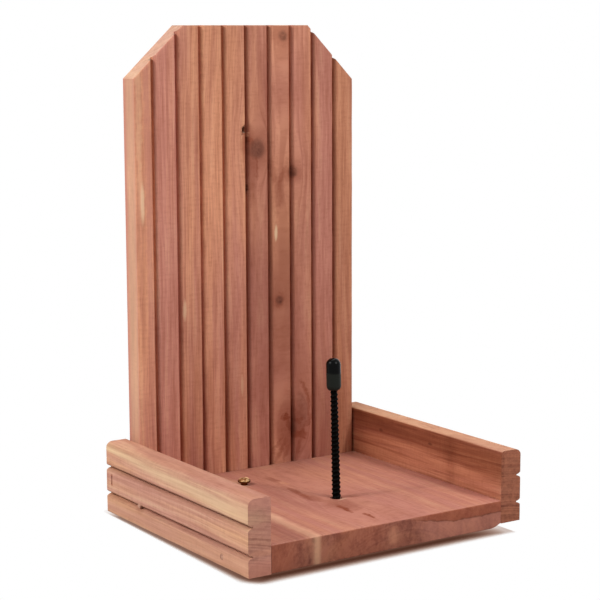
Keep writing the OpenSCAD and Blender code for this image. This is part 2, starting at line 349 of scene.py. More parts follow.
def axesOf(output):
    # The x, y and z of one of Texture Coordinate's outputs
    whole = Wire.node("ShaderNodeTexCoord", output=output)
    axes = Wire.node("ShaderNodeSeparateXYZ", inputs={0: whole}).socket.node.outputs
    return {axis: Wire(axes[axis.upper()]) for axis in "xyz"}


def position():
    # The x, y and z of a point on the piece, in millimetres
    return {axis: value * 1000 for axis, value in axesOf("Object").items()}


def facing(axis):
    # How squarely the surface faces along one axis, from 0 to 1
    return abs(axesOf("Normal")[axis])


# Cedar

cedar = {
    "tan": paint(229, 161, 125),
    "mauve": paint(210, 142, 124),
    "late": paint(150, 80, 58),
    "sap": paint(236, 190, 150),
    "pale": paint(252, 220, 180),
    "stripe": paint(255, 200, 165),
    "heart": paint(150, 74, 48),
    "knot": paint(104, 62, 50),
    "pitch": paint(58, 24, 14),
    "deep": paint(168, 146, 138),      # this and the next four multiply: darker, redder parts
    "lip": paint(170, 154, 140),       # the wall of a groove that the light misses
    "root": paint(238, 222, 208),      # the bottom of a groove, where shade is painted
    "red": paint(216, 168, 112),       # the grooves on the right, wall and bottom
    "shade": paint(250, 225, 219),     # the inner face of the right rail
    "edge": paint(206, 168, 140),      # the back board's sawn sides, partly painted shade
}


def oval(across, along, middle, size, turn=0):
    # 1 in the middle of an oval mark, 0 past its edge; turn leans its top to the left, in degrees
    u, v = across - middle[0], along - middle[1]
    if turn:
        lean = math.radians(turn)
        u, v = u * math.cos(lean) + v * math.sin(lean), v * math.cos(lean) - u * math.sin(lean)
    u, v = u / size[0], v / size[1]
    return fade(u * u + v * v, 1.15, 0.0)


# How the sawn wood takes the light; "bumpHigh" is in millimetres
sawn = {"rough": 0.62, "specular": 0.12, "bump": 0.35, "bumpHigh": 0.25}
# A wood's settings: "axes" across, through and along its grain; "pith", the middle of its rings in
# the first two; "ring", their spacing; "sway", how far slow noise pushes them; "contrast" and
# "streaky", how strong rings and streaks are; "mauve", how mauve it is; "end..." for sawn ends
plainWood = {"knots": (), "tint": (1, 1, 1, 1), "endPatch": 0.4, "endMarks": lambda at: ()}


def cedarFinish(wood):
    # Growth rings are cylinders about the pith, bent round each knot and by slow noise. Their late
    # wood, long streaks and fibres tint the cut surface; ends show darker, rougher wood.
    wood = plainWood | wood

    def finish():
        at = position()
        across, depth, along = (at[axis] for axis in wood["axes"])

        def grain(u, v, w, detail=3.0, rough=0.5):
            # Noise drawn out along the wood: v is how fine it is that way, and w sets it apart
            return noise(place3(u, along * v, w + wood["seed"]), detail=detail, rough=rough)

        bent, figure = across, wood["contrast"]
        for knot in wood["knots"]:
            u, v = across - knot["at"][0], (along - knot["at"][1]) / knot["drawn"]
            reach, near = knot["bend"] ** 2, u * u + v * v
            bent = bent - u * reach / larger(near, reach)
            figure = figure + fade(near, reach * 5, 0.0) * 0.3 * knot["dark"]
        bent = bent + (grain(across * 0.02, 0.005, 0, 2.0) - 0.5) * wood["sway"]
        radius = spread(bent - wood["pith"][0], depth - wood["pith"][1])
        ring = Wire.maths("FRACT", radius / wood["ring"] + grain(radius * 0.2, 0.0012, 3) * 5)
        strong = fade(grain(radius * 0.12, 0.003, 5, 1.0), 0.38, 0.7)
        late = fade(ring, 0.25, 0.88) * fade(ring, 1.0, 0.9) * (0.12 + strong * 0.95)
        streak = grain(radius * 0.32, 0.009, 7, 4.0, 0.7)
        band = grain(radius * 0.15, 0.004, 11)
        cloud = grain(across * 0.03, 0.012, depth * 0.03, 2.0)
        fibre = grain(radius * 2.0, 0.06, depth * 0.3, 3.0, 0.7)
        plane = grain(across * 0.15, 0.5, depth * 0.15, 2.0)
        blot = grain(across * 0.3, 0.2, depth * 0.3, 4.0, 0.65)
        jagged = grain(across * 0.7, 0.6, 13, 3.0, 0.7)
        end = fade(facing(wood["axes"][2]), 0.6, 0.85)

        pink = wood["mauve"](at) + (band - 0.5) * 1.8 + (cloud - 0.5) * 0.8
        layers = [("mauve", fade(pink, 0.0, 1.0)),
                  ("late", fade(streak, 0.4, 0.68) * wood["streaky"]),
                  ("sap", fade(streak, 0.5, 0.28) * 0.3),
                  ("late", late * figure),
                  ("late", fibre - 0.45 + (plane - 0.5) * 0.55),
                  *wood["marks"](at, blot, streak)]
        for knot in wood["knots"]:
            u, v = across - knot["at"][0], (along - knot["at"][1]) / knot.get("tall", 1)
            size, dark = knot["size"], knot["dark"]
            away = spread(u, v) * (0.2 + blot * 0.7 + jagged * 0.9)
            core = spread(u - size * 0.25, v + size * 0.35) * (0.2 + jagged * 1.6)
            layers += [("late", fade(away, size * 2.6, size * 0.9) * 0.35 * dark),
                       ("knot", fade(away, size * 1.2, size * 0.5) * (jagged * 1.5 - 0.1) * dark),
                       ("pitch", fade(core, size * 0.5, size * 0.1) * knot["heart"])]
        colour = cedar["tan"]
        for name, mask in layers:
            colour = blended(mask, colour, cedar[name])
        colour = blended(1.0, colour, wood["tint"], "MULTIPLY")
        for name, mask in wood["shades"](at, cloud):
            colour = blended(mask, colour, cedar[name], "MULTIPLY")
        sawU, sawV = wood["endSaw"]
        saw = noise(place3(across * sawU, depth * sawV, along * 0.5), detail=4.0, rough=0.6)
        patch = noise(place3(across * sawU * 0.22, depth * sawV * 0.3, wood["seed"] + 9))
        lines = (late * wood["endLate"] + (saw - 0.5) * wood["endFibre"]
                 + (blot - 0.5) * wood["endBlot"] + (patch - 0.5) * wood["endPatch"])
        endColour = blended(lines + 0.25, *wood["endTint"])
        colour = blended(end, colour, blended(0.78, colour, endColour))
        for name, mask in wood["endMarks"](at):
            colour = blended(mask * end, colour, cedar[name])
        height = fibre * 0.6 + late * 0.5 + streak * 0.5 + plane * 0.15 + end * (saw + blot) * 1.5
        bump = Wire.node("ShaderNodeBump", inputs={
            "Strength": sawn["bump"], "Distance": sawn["bumpHigh"] * mm, "Height": height})
        return {"Base Color": colour, "Roughness": sawn["rough"] + fibre * 0.2 + end * 0.1,
                "Normal": bump, "Specular IOR Level": sawn["specular"]}
    return finish


# Back board

board = {
    "clip": 39.7,            # width of each sawn-off corner
    "clipLeft": 36.5,        # and their heights
    "clipRight": 39.5,
    "warpFrom": 60,          # above this height the grid's rows lean into the sawn-off corners
    "groove": {"width": 5.6, "flat": 0.9, "depth": 3.8, "straight": 0.34},
    "grooveStep": 19.05,
    "grooves": 9,
    "aside": -0.3,           # the grooves run a little left of their even places
    "edge": 0.8,
    "hole": {"u": -2.5, "v": 268.7, "r": 2.38, "sides": ("near", "far")},
    "torn": 1.6,             # how far from the hole its lip is torn
    "uneven": 0.13,          # how much the grooves' width wanders
    "waves": 0.06,           # height of the ripples in the face
    "screwsAt": ((-60, 9.525), (0, 9.525), (60, 9.525)),
    "screwHole": 4.15,
    "screwDeep": 2.3,
    "columnStep": 3.4,
    "rowStep": 2.6,
    # how mauve each strip is
    "mauve": (0.4, 0.95, 0.45, 0.2, 0.35, 0.75, 0.4, 0.6, 0.85, 0.1),
    # how dark and red each strip is, at three heights: partly heartwood, partly painted shade
    "deep": {"low": (0.07, 0.2, 0.45, 0.32, 0.43, 0.56, 0.53, 0.56, 0.78, 0.74),
             "middle": (0.0, 0.0, 0.15, 0.09, 0.24, 0.56, 0.55, 0.45, 0.29, 0.52),
             "high": (0.09, 0.06, 0.22, 0.19, 0.28, 0.33, 0.15, 0.16, 0.37, 0.44)},
    "deepAt": (62.0, 172.0, 290.0),
}
boardLow, boardHigh = nodeBox("back_panel")


def grooveDepth(offset, cut, widen=0):
    # How deep a groove is at some offset from its middle: each wall rolls over from the face and
    # steepens to the flat at its root, as a mix of a straight slope and a quarter of an ellipse
    reach = (cut["width"] - cut["flat"]) / 2
    share = np.clip((cut["width"] / 2 + widen - abs(offset)) / reach, 0, 1)
    rolled = 1 - np.sqrt(1 - share ** 2)
    return cut["depth"] * (cut["straight"] * share ** 1.5 + (1 - cut["straight"]) * rolled)


def grooveLines(cut):
    half, flat = cut["width"] / 2, cut["flat"] / 2
    side = [half + 0.9, half + 0.3] + list(np.linspace(half, flat, 9))
    return np.array([0] + side + [-s for s in side])


def boardShape():
    # The front lies as deep as the grooves or the rounded edges there, whichever is more, with slow
    # ripples and a torn lip round the hole; the back is flat between rounded edges
    halfW, height = boardHigh[0], boardHigh[2]
    xs = ((np.arange(board["grooves"]) - (board["grooves"] - 1) / 2) * board["grooveStep"]
          + board["aside"])
    corner, sill = halfW - board["clip"], board["warpFrom"]
    hole = board["hole"]

    def topAt(x):
        sides = height - board["clipLeft"], height - board["clipRight"]
        return np.interp(x, [-halfW, -corner, corner, halfW], [sides[0], height, height, sides[1]])

    def leanAt(x):
        clip = np.where(x < 0, board["clipLeft"], board["clipRight"])
        return np.where(abs(x) > corner, board["clip"] / np.hypot(board["clip"], clip), 1)

    def rise(x, v):
        return np.where(v > sill, sill + (v - sill) * (topAt(x) - sill) / (height - sill), v)

    def edgeDrop(x, z, radius):
        top = (topAt(x) - z) * leanAt(x)
        drops = [eased(halfW - abs(x), radius), eased(z, radius), eased(top, radius)]
        return np.maximum.reduce(drops)

    def front(x, v):
        z = rise(x, v)
        depth = 0
        for k, middle in enumerate(xs):
            widen = board["uneven"] * ripple(x * 0, z / 5, 40 + k)
            depth = depth + grooveDepth(x - middle, board["groove"], widen)
        drop = edgeDrop(x, z, board["edge"] * (1 + 0.35 * ripple(x / 3, z / 4, 21)))
        away = np.hypot(x - hole["u"], z - hole["v"]) - hole["r"]
        torn = np.clip(1 - away / board["torn"], 0, 1) * (0.35 + 0.5 * ripple(x * 1.4, z * 0.9, 33))
        waves = board["waves"] * ripple(x / 9, z / 40, 5)
        return boardLow[1] + np.maximum(depth, drop) + waves + torn

    def back(x, v):
        return boardHigh[1] - edgeDrop(x, rise(x, v), board["edge"] * 0.8)

    pockets = [hole] + [bore(at, board["screwHole"], "far", boardHigh[1] - board["screwDeep"],
                             narrow=0.55) for at in board["screwsAt"]]
    rims = np.array([0.06, 0.22, 0.5, 1.0]) * board["edge"]
    us = gridLines(-halfW, halfW, board["columnStep"], pockets, "u", halfW - rims, rims - halfW,
                   [corner, -corner], *(m + grooveLines(board["groove"]) for m in xs))
    vs = gridLines(0, height, board["rowStep"], pockets, "v", rims, height - rims, [sill])
    return slab(us, vs, front, back, lambda x, v, y: np.stack([x, y, rise(x, v)], axis=-1), pockets)


# Marks on the front: colour, strength, place (x, z), half width and half height, lean to the left
boardSpots = (
    ("sap", 0.35, (-88.6, 285), (2.8, 85)),
    ("mauve", 0.5, (-82.0, 240), (3.6, 120)),
    ("late", 0.16, (-81.5, 250), (3.2, 130)),
    ("pale", 0.55, (-86.7, 220), (1.9, 17)),
    ("pale", 0.9, (23.6, 192.4), (1.6, 7)),
    ("pale", 0.45, (-54, 142), (1.8, 9)),
    ("pale", 0.3, (-6.5, 82), (1.4, 9)),
    ("pitch", 0.75, (-0.4, 226), (1.5, 4.5)),
    ("late", 0.4, (3.5, 236), (5.0, 26)),           # between the hole and the pitch pocket
    ("late", 0.5, (-1.0, 262), (7.0, 14)),
    ("pitch", 0.7, (-3.2, 269.0), (2.2, 4.8), -20),
    ("pitch", 0.5, (0.2, 261.5), (1.6, 4.0)),
    ("tan", 0.8, (0.9, 264.8), (1.0, 2.4), -10),
    ("sap", 0.4, (-4.8, 262.6), (0.9, 2.0), -15),
    ("heart", 0.5, (3.2, 260.2), (3.4, 4.6), 40),      # round the upper knot
    ("knot", 0.4, (8.0, 254.0), (8.0, 9.5)),
    ("late", 0.6, (7.6, 241.0), (1.3, 12)),
    ("late", 0.45, (21.5, 237.0), (3.0, 12.5), 18.3),  # flame
    ("late", 0.45, (29.3, 234.0), (3.0, 11), -25.8),
    ("late", 0.45, (26.5, 221), (4.5, 14)),
    ("heart", 0.5, (37.6, 236.0), (4.6, 7.0)),
    ("late", 0.5, (26.3, 142.4), (5.0, 6.5)),
    ("heart", 0.95, (31.6, 53.6), (5.6, 3.0), -8),      # swirl above the floor
    ("heart", 0.7, (34.0, 46.5), (2.2, 8.0), 18),
    ("knot", 0.35, (45.5, 56.0), (7.5, 18)),
    ("heart", 0.45, (48.5, 73.0), (2.0, 12), 28),
    ("heart", 0.4, (52.0, 58.0), (1.7, 15), 4),
    ("heart", 0.75, (44.5, 39.0), (3.2, 8.5), 80),
    ("late", 0.6, (42.5, 49.2), (5.5, 2.2)),
    ("late", 0.45, (50.5, 46.5), (2.2, 8.0), -42),
    ("late", 0.5, (28.0, 30.5), (3.0, 13), -30),
    ("late", 0.45, (33.0, 29.0), (2.4, 12), -24),
    ("late", 0.4, (24.0, 33.5), (2.4, 10), -36),
    ("late", 0.45, (42.5, 28.5), (2.4, 11), -12),
    ("pitch", 0.35, (38.0, 46.0), (3.0, 20)),
    ("late", 0.45, (36.0, 48.0), (16, 30)),
)


def stripTones(at, tones):
    # Each strip between two grooves has its own tone
    halfW, step = float(boardHigh[0]), board["grooveStep"]
    left = halfW - (board["grooves"] + 1) / 2 * step
    stops = [(max(0, (k * step + left) / (2 * halfW)), (tone, tone, tone, 1))
             for k, tone in enumerate(tones)]
    return Wire.node("ShaderNodeValToRGB", {"between": "CONSTANT", "stops": stops},
                     {"Fac": (at["x"] + halfW) / (2 * halfW)})


def boardMauve(at):
    return stripTones(at, board["mauve"]) + 0.2 - at["z"] * 0.001


def ragged(at, wobble, axes, seed):
    # Two coordinates, each pushed about by noise, so that the marks drawn with them are uneven
    u, v = (at[axis] for axis in axes)
    pushU = noise(place3(u * 0.25, v * 0.12, seed), detail=3.0, rough=0.65)
    pushV = noise(place3(u * 0.12, v * 0.25, seed + 4), detail=3.0, rough=0.65)
    return u + (pushU - 0.5) * wobble, v + (pushV - 0.5) * wobble * 2


def boardMarks(at, blot, streak):
    # The sawn sides get a greyer tone with mauve at the rear and front; then come the spots
    side = fade(facing("x"), 0.6, 0.9) * fade(abs(at["x"]), 91.2, 91.8)
    # The greyer tone is partly the sides' own, partly painted shade on the brightly lit sides
    yield "edge", side * (0.3 + streak * 0.4)
    rear = side * fade(at["y"] + (streak - 0.5) * 6, 89.0, 94.5)
    yield "mauve", rear * 0.9
    yield "late", rear * 0.16
    yield "mauve", side * fade(at["y"], 83.0, 79.5) * 0.4
    uneven, clean = ragged(at, 6.0, "xz", 3.0), ragged(at, 1.5, "xz", 3.0)
    for name, amount, *place in boardSpots:
        strength = amount if name in ("pale", "pitch") else (0.2 + blot * 1.6) * amount
        yield name, oval(*(clean if name == "pale" else uneven), *place) * strength


def grooveTones(offset, cut, step):
    # For a row of grooves: 1 on one wall and 0 elsewhere, and 1 at the root and 0 past both walls
    aside = (Wire.maths("FRACT", offset / step + 0.5) - 0.5) * step
    edge, flat = cut["width"] / 2, cut["flat"] / 2
    wall = fade(aside, 0.3 - edge, 1.1 - edge) * fade(aside, -flat, 1.4 - edge)
    return wall, fade(aside, 0.9 - edge, 1.8 - edge) * fade(aside, flat + 0.5, -flat)


def boardShades(at, cloud):
    # The strips' tones at three heights, partly painted shade, then painted shade in the grooves
    x, z = at["x"], at["z"]
    low, middle, high = board["deepAt"]
    tones = {height: stripTones(at, board["deep"][height]) for height in board["deep"]}
    deep = blended(clipped((z - low) / (middle - low)), tones["low"], tones["middle"])
    deep = blended(fade(z, middle, high), deep, tones["high"])
    yield "deep", deep + (cloud - 0.5) * 0.45
    face = float(boardLow[1])
    front = fade(at["y"], face + 4.3, face + 3.9)
    wall, roots = (tone * front for tone in
                   grooveTones(x - board["aside"], board["groove"], board["grooveStep"]))
    soft = fade(abs(x + 48.0), 24.0, 12.0)      # the second and third grooves
    right = fade(x, -10.0, 4.0)
    # Painted shade in the grooves: wall, root, root again towards the foot, redder on the right
    yield "lip", wall * (1 - soft * 0.8 - right * 0.35)
    yield "root", roots * (1 - soft * 0.5)
    yield "root", roots * fade(z, 190.0, 40.0)
    yield "red", larger(wall, roots) * right * (0.85 - fade(x, 62.0, 84.0) * 0.4)


boardWood = {
    "axes": ("x", "y", "z"), "pith": (30.0, 140.0), "ring": 1.25, "sway": 7.0, "seed": 2.0,
    "mauve": boardMauve, "contrast": 0.24, "streaky": 0.42,
    "marks": boardMarks, "shades": boardShades,
    "endTint": (paint(216, 194, 168), paint(160, 124, 106)),
    "endSaw": (0.5, 0.9), "endLate": 0.2, "endFibre": 0.6, "endBlot": 1.4,
    "knots": (
        {"at": (7.7, 254.5), "size": 7.6, "bend": 9.0, "drawn": 2.4, "dark": 0.8, "heart": 0.1},
        {"at": (38.8, 236.6), "size": 4.8, "bend": 7.0, "drawn": 3.0, "dark": 0.85, "heart": 0.35},
        {"at": (26.3, 142.4), "size": 3.6, "bend": 5.0, "drawn": 3.0, "dark": 0.85, "heart": 0.3},
        {"at": (37.7, 46.6), "size": 5.0, "bend": 14.0, "drawn": 1.6, "dark": 0.4, "heart": 0.2,
         "tall": 1.7},
        {"at": (30.7, 335.1), "size": 4.2, "bend": 3.0, "drawn": 3.0, "dark": 0.8, "heart": 0.2},
    ),
}
piece("backBoard", boardShape(), materialOf("boardCedar", cedarFinish(boardWood)),
      "back_panel")
print("back board ready")


# Side rails

rail = {
    "groove": board["groove"],
    "grooveFoot": 13.5,      # height of the lower groove above the rail's own foot
    "grooveStep": 19.05,
    "rightFoot": 2.5,        # how high the right rail sits
    "outer": 5.0,            # radius of the outer top edge
    "inner": 2.0,
    "edge": 0.6,
    "nailInset": 32.0,       # where the front nail's head is let in: from the front end,
    "nailHigh": 6.3,         # and above the foot of the feeder
    "nailHole": 2.0,
    "nailDeep": 0.9,
    "stapleInset": 7.95,     # the same from the rear end, for the staple
    "stapleHigh": 24.5,
    "stapleSlot": (0.66, 2.86),
    "stapleDeep": 2.0,
    "uneven": 0.12,
    "waves": (0.08, 0.07),   # inside and outside
    "columnStep": 2.6,
    "rowStep": 1.8,
}


def railShape(side, node):
    # The outside lies as deep as the two grooves or the rounded edges there, whichever is more; the
    # inside is flat between rounded edges, and slow ripples run over both
    low, high = nodeBox(node)
    thick, tall, foot = high[0] - low[0], high[2] - low[2], low[2]
    innerFace = min(abs(low[0]), abs(high[0]))
    levels = rail["grooveFoot"] + np.arange(2) * rail["grooveStep"]

    def drop(y, v, top):
        ends = np.minimum(high[1] - y, y - low[1])
        edge = rail["edge"] * (1 + 0.4 * ripple(y / 6, v / 6, 50 + side))
        return np.maximum.reduce([eased(tall - v, top), eased(v, edge), eased(ends, edge)])

    def inside(y, v):
        return drop(y, v, rail["inner"]) + rail["waves"][0] * ripple(y / 40, v / 9, 60 + side)

    def outside(y, v):
        depth = 0
        for k, level in enumerate(levels):
            widen = rail["uneven"] * ripple(y / 6, v * 0, 70 + side + k)
            depth = depth + grooveDepth(v - level, rail["groove"], widen)
        waves = rail["waves"][1] * (ripple(y / 40, v / 9, 80 + side) - 1)
        return thick - np.maximum(depth, drop(y, v, rail["outer"])) + waves

    nailAt = low[1] + rail["nailInset"], rail["nailHigh"] - foot
    staple = {"u": high[1] - rail["stapleInset"], "v": rail["stapleHigh"] - foot,
              "half": rail["stapleSlot"], "sides": ("far",), "floor": thick - rail["stapleDeep"]}
    pockets = [bore(nailAt, rail["nailHole"], "far", thick - rail["nailDeep"]), staple]
    bends = np.radians(np.arange(11.25, 91, 11.25))
    rims = np.array([0.06, 0.25, 0.55, 1.0]) * rail["edge"]
    us = gridLines(low[1], high[1], rail["columnStep"], pockets, "u", low[1] + rims, high[1] - rims)
    vs = gridLines(0, tall, rail["rowStep"], pockets, "v", rims,
                   tall - rail["outer"] * (1 - np.cos(bends)),
                   *(m + grooveLines(rail["groove"]) for m in levels))
    return slab(us, vs, inside, outside,
                lambda y, v, h: np.stack([side * (innerFace + h), y, foot + v], axis=-1), pockets)


def leftRailMarks(at, blot, streak):
    # A pale band that runs from the rear top edge down over the upper strip towards the front
    y, z = at["y"], at["z"]
    away = abs(z - 46.5 + (75.0 - y) * 0.045) / (3.5 + (75.0 - y) * 0.03)
    outside = fade(at["x"], -96.0, -106.0)
    yield "sap", fade(away + (streak - 0.5) * 1.4, 1.3, 0.1) * (1.2 - streak) * 0.75 * outside
    yield "late", oval(z, y, (11.5, 47), (3.4, 6)) * 0.35
    yield "tan", fade(z, 13.0, 9.0) * outside * 0.2
    yield "tan", fade(y, -50.0, -85.0) * outside * 0.2
    for level in (21.4, 27.6):          # where the staple's legs went in
        yield "heart", oval(z, y, (level, 87.3), (1.5, 1.7)) * 0.7 * outside


def railShades(level):
    # Painted shade at the bottom of the two grooves, stronger in the upper one
    def shades(at, cloud):
        outside = fade(abs(at["x"]), 106.9, 107.3) * fade(at["z"], 43.0, 42.0)
        roots = grooveTones(level - at["z"], rail["groove"], rail["grooveStep"])[1]
        upper = fade(at["z"], level + 6.0, level + 10.0)
        yield "deep", roots * outside * (0.25 + upper * 0.4)
    return shades


def leftRailShades(at, cloud):
    # Painted shade on the faces that look up, then the grooves' painted shade
    yield "deep", fade(facing("z"), 0.1, 0.6) * 0.34
    yield from railShades(rail["grooveFoot"])(at, cloud)


def leftRailEnd(at):
    # Redder wood at the foot and near the top of the sawn end, and a paler band over each
    z = ragged(at, 2.0, "xz", 5.0)[1]
    yield "mauve", fade(z, 13.0, 8.0) * 0.3
    yield "heart", fade(z, 12.0, 2.0) * 0.16
    yield "mauve", fade(z, 41.0, 46.0) * 0.25
    yield "sap", fade(z, 33.0, 36.0) * fade(z, 42.0, 38.0) * 0.12
    yield "tan", fade(z, 12.0, 14.5) * fade(z, 18.0, 15.5) * 0.2


leftWood = {
    "axes": ("z", "x", "y"), "pith": (-190.0, -150.0), "ring": 3.0, "sway": 6.0, "seed": 14.0,
    "mauve": lambda at: 0.75, "contrast": 0.16, "streaky": 0.36, "tint": (1.0, 1.2, 1.19, 1),
    "marks": leftRailMarks, "shades": leftRailShades, "endMarks": leftRailEnd,
    "endTint": (paint(180, 124, 107), paint(116, 65, 61)),
    "endSaw": (0.4, 0.1), "endLate": 0.5, "endFibre": 1.0, "endBlot": 1.1,
}


def rightRailMarks(at, blot, streak):
    y, z = at["y"], at["z"]
    for spot in ((42.1, 44.2), (43.1, -15.8)):
        yield "knot", oval(z, y, spot, (1.3, 3.0)) * 0.6
    yield "late", oval(z, y, (43.5, 30.0), (6.0, 75)) * 0.4
    yield "tan", oval(z, y, (30.0, -40.0), (3.0, 50)) * 0.3


def rightRailShades(at, cloud):
    # Dark heartwood on the inner and outer faces, darker along the inner top edge; the top is pale
    flank = fade(facing("z"), 0.85, 0.45)
    yield "shade", flank
    inner = flank * fade(at["x"], 97.0, 95.0)
    brink = fade(at["z"] - at["y"] * 0.06 + (cloud - 0.5) * 10, 33.0, 46.0) * inner
    # Towards the rear, painted shadow of the back board darkens the inner face
    rear = inner * fade(at["y"], -10.0, 75.0)
    for part, deep, root in ((brink, 0.6, 0.7), (rear, 0.25, 0.6)):
        yield "deep", part * deep
        yield "root", part * root
    yield from railShades(rail["grooveFoot"] + rail["rightFoot"])(at, cloud)


rightWood = {
    "axes": ("z", "x", "y"), "pith": (-160.0, 80.0), "ring": 2.4, "sway": 9.0, "seed": 27.0,
    "mauve": lambda at: 0.15, "contrast": 0.24, "streaky": 0.55, "tint": (0.78, 0.88, 0.91, 1),
    "marks": rightRailMarks, "shades": rightRailShades,
    "endTint": (paint(156, 95, 72), paint(80, 38, 31)),
    "endSaw": (0.4, 0.1), "endLate": 0.3, "endFibre": 1.0, "endBlot": 1.5,
}
for name, side, wood in (("left", -1, leftWood), ("right", 1, rightWood)):
    piece(f"{name}Rail", railShape(side, f"{name}_rail"),
          materialOf(f"{name}RailCedar", cedarFinish(wood)), f"{name}_rail")
print("side rails ready")


# Floor board

floorBoard = {
    "edge": 0.5,
    "frontEdge": 1.6,
    "underEdge": 0.9,        # the front edge's radius underneath
    "wane": (9.0, 3.2, 30),  # width, height, length of the bark-side loss at the right front
    # radius, depth and narrowing of the holes for the spike, its head and the brass screw
    "spikeHole": (4.3, 1.0, 0.77),
    "headHole": (6.45, 3.9, 0.53),
    "screwHole": (2.5, 2.0, 1),
    "waves": 0.06,
    "step": 3,
}
floorLow, floorHigh = nodeBox("floor_board")
spikeLow, spikeHigh = nodeBox("corn_spike")
screwLow, screwHigh = nodeBox("floor_screw")
spikeFoot = (spikeLow + spikeHigh) / 2
spikeFoot[2] = spikeLow[2]
spikeAxis = np.array(frame["joints"][0]["axis"], float)
spikeAxis /= np.linalg.norm(spikeAxis)


def floorShape():
    # Top and underside are flat between rounded edges, with slow ripples on top; underneath, the
    # wane at the right front corner takes away more
    thick = floorHigh[2]

    def sides(x, y, front, rest):
        return np.maximum.reduce([eased(y - floorLow[1], front), eased(floorHigh[1] - y, rest),
                                  eased(x - floorLow[0], rest), eased(floorHigh[0] - x, rest)])

    def top(x, y):
        edge = floorBoard["frontEdge"] * (1 + 0.3 * ripple(x / 7, y / 7, 91))
        waves = floorBoard["waves"] * (ripple(x / 11, y / 50, 92) - 1)
        return thick - sides(x, y, edge, floorBoard["edge"]) + waves

    def under(x, y):
        wide, high, long = floorBoard["wane"]
        corner = (np.clip(1 - (floorHigh[0] - x) / wide, 0, 1)
                  * np.clip(1 - (y - floorLow[1]) / long, 0, 1))
        edges = sides(x, y, floorBoard["underEdge"], floorBoard["edge"])
        return np.maximum(edges, high * corner ** 1.5)

    def holeAt(middle, hole, side="far"):
        radius, deep, narrow = floorBoard[hole]
        floor = thick - deep if side == "far" else middle[2] + deep
        return bore(middle, radius, side, floor, narrow)

    atFloor = spikeFoot + spikeAxis * (thick - spikeFoot[2]) / spikeAxis[2]
    pockets = [holeAt(atFloor, "spikeHole"), holeAt(spikeFoot, "headHole", "near"),
               holeAt((screwLow + screwHigh) / 2, "screwHole")]
    rims = np.array([0.06, 0.25, 0.55, 1.0])
    edge, frontEdge = rims * floorBoard["edge"], rims * floorBoard["frontEdge"]
    us = gridLines(floorLow[0], floorHigh[0], floorBoard["step"], pockets, "u",
                   floorLow[0] + edge, floorHigh[0] - edge, floorHigh[0] - np.arange(1, 9))
    vs = gridLines(floorLow[1], floorHigh[1], floorBoard["step"], pockets, "v",
                   floorLow[1] + frontEdge, floorHigh[1] - edge)
    return slab(us, vs, under, top, lambda x, y, z: np.stack([x, y, z], axis=-1), pockets)


# Marks on the floor: colour, strength, place (x, y), half width and half length, lean to the left
floorSpots = (
    ("heart", 0.66, (-11.0, -3.0), (3.4, 23), -7),      # dark streak from the left to the spike
    ("late", 0.45, (-9.5, -18.0), (6.0, 13)),
    ("heart", 0.95, (-7.0, -51.0), (3.0, 13), -9),
    ("heart", 0.95, (-3.2, -75.0), (2.3, 10), -5),
    ("late", 0.4, (14.5, -27.0), (4.5, 8.0), 35),
    ("late", 0.5, (-2.0, -42.0), (13.0, 20)),
    ("late", 0.45, (-5.0, 42.0), (4.0, 10.0)),
    ("tan", 0.5, (-3.2, 28.0), (3.0, 7.0)),
    ("sap", 0.4, (-34.0, 46.0), (9.0, 15)),        # round the brass screw
    ("pale", 0.45, (5.5, -30.6), (3.8, 1.8)),      # torn wood round the spike's hole
    ("pitch", 0.5, (-43.5, 66.0), (1.0, 5.0)),
    ("pitch", 0.5, (-38.5, 62.5), (1.3, 5.0)),
)


def floorMarks(at, blot, streak):
    x, y = ragged(at, 7.0, "xy", 8.0)
    stripe = abs(x + 58.9 - (y + 66) * 0.03)
    strength = (0.53 + fade(y, -65.0, -40.0) * 0.25) * fade(y, 25.0, -25.0)
    yield "stripe", fade(stripe, 7.2, 0.6) * strength
    for name, amount, *place in floorSpots:
        yield name, oval(x, y, *place) * (blot + streak) * amount


def floorEndMarks(at):
    # The sapwood stripe, a rusty patch, and a curved split with redder wood above it
    x, z = ragged(at, 1.4, "xz", 6.0)
    yield "sap", fade(abs(x + 59.0), 4.2, 0.4) * 0.3
    yield "heart", fade(x, -64.0, -88.0) * 0.35
    yield "heart", fade(x, -50.0, -40.0) * fade(x, 0.0, -12.0) * 0.2
    yield "tan", oval(x, z, (2.0, 9.3), (6.0, 7.0)) * 0.22
    curve = z - 11.2 - larger(52.0 - x, 0.0) * 0.16
    right = fade(x, 16.0, 34.0)
    yield "heart", fade(curve, -0.3, 0.8) * right * 0.45
    yield "mauve", fade(curve, 0.0, -0.8) * right * 0.28
    yield "pitch", fade(abs(curve), 1.1, 0.0) * right * 0.26


def floorShades(at, cloud):
    # Darker in random clouds, and painted shade of the back board, deepening towards the rear
    yield "deep", (cloud - 0.5) * 0.9 + at["y"] * 0.001 + 0.04


floorWood = {
    "axes": ("x", "z", "y"), "pith": (10.0, -46.0), "ring": 2.6, "sway": 12.0, "seed": 41.0,
    "mauve": lambda at: 0.7, "contrast": 0.13, "streaky": 0.2, "tint": (0.76, 0.75, 0.76, 1),
    "marks": floorMarks, "shades": floorShades, "endMarks": floorEndMarks,
    "endTint": (paint(150, 90, 68), paint(86, 34, 26)),
    "endSaw": (0.3, 0.12), "endLate": 0.1, "endFibre": 1.5, "endBlot": 1.9, "endPatch": 2.4,
    "knots": (
        {"at": (-8.0, -52.0), "size": 0.5, "bend": 9.0, "drawn": 2.6, "dark": 0.1, "heart": 0.0},
    ),
}
piece("floorBoard", floorShape(), materialOf("floorCedar", cedarFinish(floorWood)),
      "floor_board")
print("floor board ready")


# Corn spike

spike = {
    "head": 6.3, "headHigh": 3.8, "shank": 3.2, "tip": 2.55, "point": 0.4,
    "length": 114.3, "pointLength": 9.0, "threadFrom": 12.5,
    "pitch": 3.1, "thread": 0.55, "crest": 0.12, "root": 0.42, "cross": (6.4, 1.7, 2.2),
}
floorTop = floorHigh[2]


